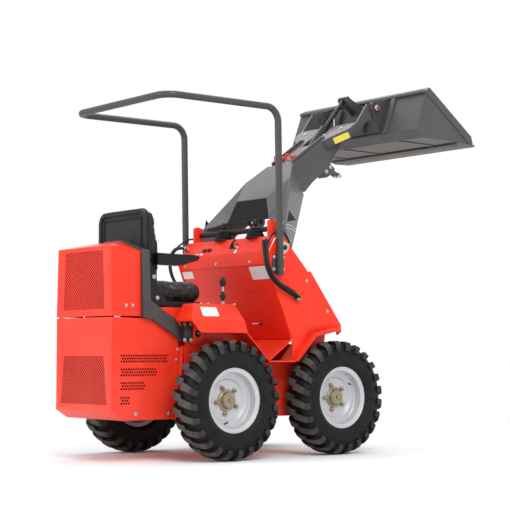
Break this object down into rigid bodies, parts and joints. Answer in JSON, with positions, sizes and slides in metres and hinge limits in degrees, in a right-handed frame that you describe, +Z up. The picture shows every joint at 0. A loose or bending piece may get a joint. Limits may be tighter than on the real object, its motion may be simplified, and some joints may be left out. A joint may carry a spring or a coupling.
{
  "type": "ride-on mini skid steer loader",
  "caption": "Compact ride-on skid steer loader: rear engine under a tilting hood with seat, control tower, roll hoop, and one central lift boom carrying a tilting bucket",
  "frame": {"origin": "on the ground under the middle of the overall box", "axes": "+X to the machine's right, +Y forwards towards the bucket, +Z up"},
  "size_m": [1.1, 2.458, 2.132],
  "materials": {
    "red_paint": "semi-gloss red paint",
    "dark_grey_paint": "satin dark grey paint",
    "boom_grey_paint": "satin grey paint",
    "tyre_rubber": "matt black rubber",
    "rim_silver": "silver paint",
    "bare_steel": "bare machined steel",
    "black_paint": "satin black paint",
    "black_plastic": "textured black plastic",
    "black_vinyl": "black vinyl",
    "hose_rubber": "matt black rubber",
    "engine_metal": "dark cast metal"
  },
  "bodies": {
    "chassis": {"chassis_frame": "red_paint", "floor_plate": "red_paint", "engine_box": "red_paint", "rear_grille_lower": "red_paint", "engine_block": "engine_metal", "rear_fender_left": "red_paint", "rear_fender_right": "red_paint", "front_fender_left": "red_paint", "front_fender_right": "red_paint", "tower_side_left": "red_paint", "tower_side_right": "red_paint", "control_console": "red_paint", "footrest_panel": "red_paint", "grab_bar": "hose_rubber", "joystick_left": "black_plastic", "joystick_right": "black_plastic", "throttle_lever": "black_plastic", "roll_bar": "dark_grey_paint", "hose_left": "hose_rubber", "hose_right": "hose_rubber", "front_axle": "bare_steel", "rear_axle": "bare_steel"},
    "hood_and_seat": {"hood": "red_paint", "rear_grille_upper": "red_paint", "hood_frame": "dark_grey_paint", "seat_platform": "red_paint", "seat_tray": "black_plastic", "seat_cushion": "black_vinyl", "seat_back_shell": "black_plastic", "seat_backrest": "black_vinyl"},
    "left_armrest": {"armrest_left": "black_plastic"},
    "right_armrest": {"armrest_right": "black_plastic"},
    "boom": {"boom_base": "boom_grey_paint", "boom_beam": "boom_grey_paint", "auxiliary_couplings": "bare_steel"},
    "bucket": {"coupler_frame": "dark_grey_paint", "bucket_shell": "boom_grey_paint", "cutting_edge": "bare_steel"},
    "lift_barrel": {"lift_cylinder_barrel": "black_paint"},
    "lift_rod": {"lift_cylinder_rod": "bare_steel"},
    "tilt_barrel": {"tilt_cylinder_barrel": "black_paint"},
    "tilt_rod": {"tilt_cylinder_rod": "bare_steel"},
    "wheel_front_left": {"rim_front_left": "rim_silver", "tyre_front_left": "tyre_rubber"},
    "wheel_front_right": {"rim_front_right": "rim_silver", "tyre_front_right": "tyre_rubber"},
    "wheel_rear_left": {"rim_rear_left": "rim_silver", "tyre_rear_left": "tyre_rubber"},
    "wheel_rear_right": {"rim_rear_right": "rim_silver", "tyre_rear_right": "tyre_rubber"}
  },
  "joints": [
    {"name": "wheel_front_left_spin", "type": "hinge", "parent": "chassis", "child": "wheel_front_left", "pos_m": [-0.4325, 0.157, 0.315], "axis": [1, 0, 0], "continuous": true},
    {"name": "wheel_front_right_spin", "type": "hinge", "parent": "chassis", "child": "wheel_front_right", "pos_m": [0.4325, 0.157, 0.315], "axis": [1, 0, 0], "continuous": true},
    {"name": "wheel_rear_left_spin", "type": "hinge", "parent": "chassis", "child": "wheel_rear_left", "pos_m": [-0.4325, -0.615, 0.315], "axis": [1, 0, 0], "continuous": true},
    {"name": "wheel_rear_right_spin", "type": "hinge", "parent": "chassis", "child": "wheel_rear_right", "pos_m": [0.4325, -0.615, 0.315], "axis": [1, 0, 0], "continuous": true},
    {"name": "boom_lift", "type": "hinge", "parent": "chassis", "child": "boom", "pos_m": [0, -0.189, 1.14], "axis": [1, 0, 0], "range_deg": [-94, 6]},
    {"name": "bucket_tilt", "type": "hinge", "parent": "boom", "child": "bucket", "pos_m": [0, 0.663, 2.027], "axis": [-1, 0, 0], "range_deg": [-105, 50]},
    {"name": "hood_tilt", "type": "hinge", "parent": "chassis", "child": "hood_and_seat", "pos_m": [0, -0.722, 0.664], "axis": [-1, 0, 0], "range_deg": [0, 45]},
    {"name": "left_armrest_lift", "type": "hinge", "parent": "hood_and_seat", "child": "left_armrest", "pos_m": [-0.26, -0.951, 1.05], "axis": [1, 0, 0], "range_deg": [0, 90]},
    {"name": "right_armrest_lift", "type": "hinge", "parent": "hood_and_seat", "child": "right_armrest", "pos_m": [0.26, -0.951, 1.05], "axis": [1, 0, 0], "range_deg": [0, 90]},
    {"name": "lift_barrel_pivot", "type": "hinge", "parent": "chassis", "child": "lift_barrel", "pos_m": [0, 0.071, 0.45], "axis": [1, 0, 0], "range_deg": [-1.98, 0.22]},
    {"name": "lift_rod_slide", "type": "slide", "parent": "lift_barrel", "child": "lift_rod", "axis": [0, -0.1393, 0.9902], "range_m": [-0.3362, 0.0243]},
    {"name": "tilt_barrel_pivot", "type": "hinge", "parent": "boom", "child": "tilt_barrel", "pos_m": [0, 0.276, 1.665], "axis": [1, 0, 0], "range_deg": [-1.15, 0.6]},
    {"name": "tilt_rod_slide", "type": "slide", "parent": "tilt_barrel", "child": "tilt_rod", "axis": [0, 0.6446, 0.7646], "range_m": [-0.1359, 0.0663]}
  ],
  "couplings": [
    {"joint": "lift_barrel_pivot", "follows": "boom_lift", "ratio": 0.02},
    {"joint": "lift_rod_slide", "follows": "boom_lift", "m_per_rad": 0.2031},
    {"joint": "tilt_barrel_pivot", "follows": "bucket_tilt", "ratio": 0.01},
    {"joint": "tilt_rod_slide", "follows": "bucket_tilt", "m_per_rad": 0.0725}
  ]
}
